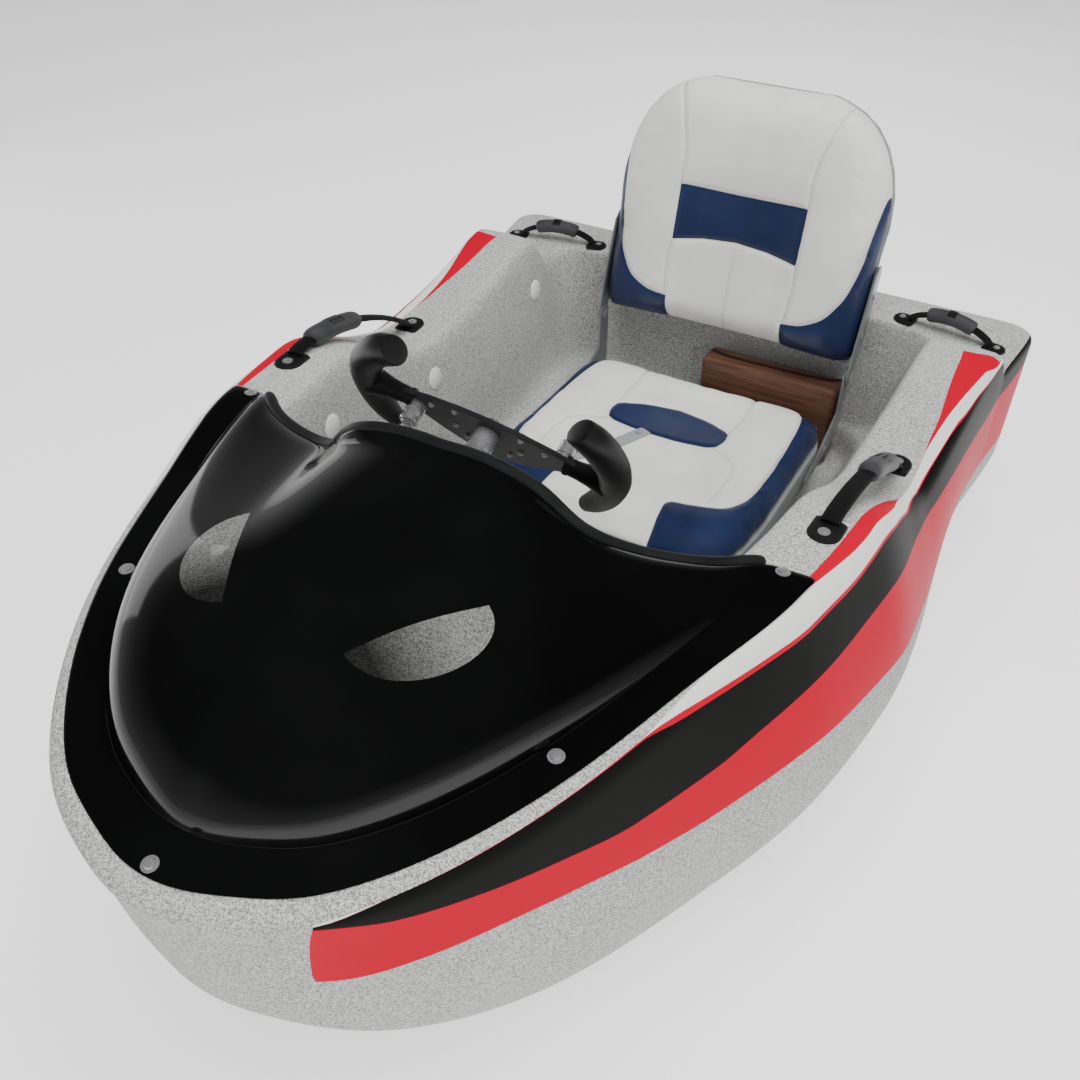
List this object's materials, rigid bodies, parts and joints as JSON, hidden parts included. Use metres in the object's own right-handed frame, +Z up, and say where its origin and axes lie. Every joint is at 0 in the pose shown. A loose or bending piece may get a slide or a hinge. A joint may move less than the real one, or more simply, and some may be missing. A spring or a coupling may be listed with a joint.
{
  "type": "kart boat",
  "caption": "One-seat powered dinghy with a moulded open hull, black bow cowl, steering yoke, folding padded seat, grab handles and a swivelling stern drive.",
  "frame": {"origin": "on the floor under the middle of the whole length, on the centre line", "axes": "+Y towards the stern, +X to port, +Z up"},
  "size_m": [1.0902, 1.865, 0.7237],
  "materials": {
    "hull": "light grey speckled moulded polyethylene with red, white and black side stripes",
    "cowl": "gloss black moulded sheet, clear over two eye-shaped panels",
    "trim": "black rubber",
    "black": "black coated",
    "steel": "bright steel",
    "aluminium": "mill aluminium",
    "vinyl": "white and navy coated seat fabric",
    "shell": "grey moulded seat plastic",
    "wood": "varnished brown",
    "webbing": "woven strap"
  },
  "bodies": {
    "boat": {"hull": "hull", "drain_plug": "black", "cowl": "cowl", "cowl_trim": "trim", "steering_post": "black", "column_housing": "aluminium", "seat_base": "wood", "seat_pan": "shell", "seat_cushion": "vinyl", "seat_bracket_port": "aluminium", "seat_bracket_starboard": "aluminium", "hinge_pin_port": "steel", "hinge_pin_starboard": "steel", "tie_strap": "webbing", "battery_case": "wood", "front_handle_port": "trim", "front_handle_starboard": "trim", "rear_handle_port": "trim", "rear_handle_starboard": "trim", "drive_bracket": "aluminium"},
    "yoke": {"steering_shaft": "steel", "yoke_plate": "black", "grip_port": "trim", "grip_starboard": "trim", "button_port": "steel", "button_starboard": "steel"},
    "back": {"back_shell": "shell", "back_cushion": "vinyl", "back_arm_port": "aluminium", "back_arm_starboard": "aluminium"},
    "drive": {"drive_leg": "aluminium", "motor_pod": "black", "prop_guard": "black"},
    "propeller": {"propeller": "black"}
  },
  "joints": [
    {"name": "steering", "type": "hinge", "parent": "boat", "child": "yoke", "pos_m": [0, -0.27749, 0.59], "axis": [0, -0.9063, -0.4226], "range_deg": [-46, 74]},
    {"name": "seat_back_fold", "type": "hinge", "parent": "boat", "child": "back", "pos_m": [0, 0.59251, 0.262], "axis": [1, 0, 0], "range_deg": [0, 97]},
    {"name": "drive_swivel", "type": "hinge", "parent": "boat", "child": "drive", "pos_m": [0, 0.75951, 0.128], "axis": [0, 0, 1], "range_deg": [-23, 37]},
    {"name": "propeller_spin", "type": "hinge", "parent": "drive", "child": "propeller", "pos_m": [0, 0.75951, 0.128], "axis": [0.1219, 0.9925, 0], "continuous": true}
  ],
  "couplings": [
    {"joint": "drive_swivel", "follows": "steering", "ratio": 0.5}
  ]
}
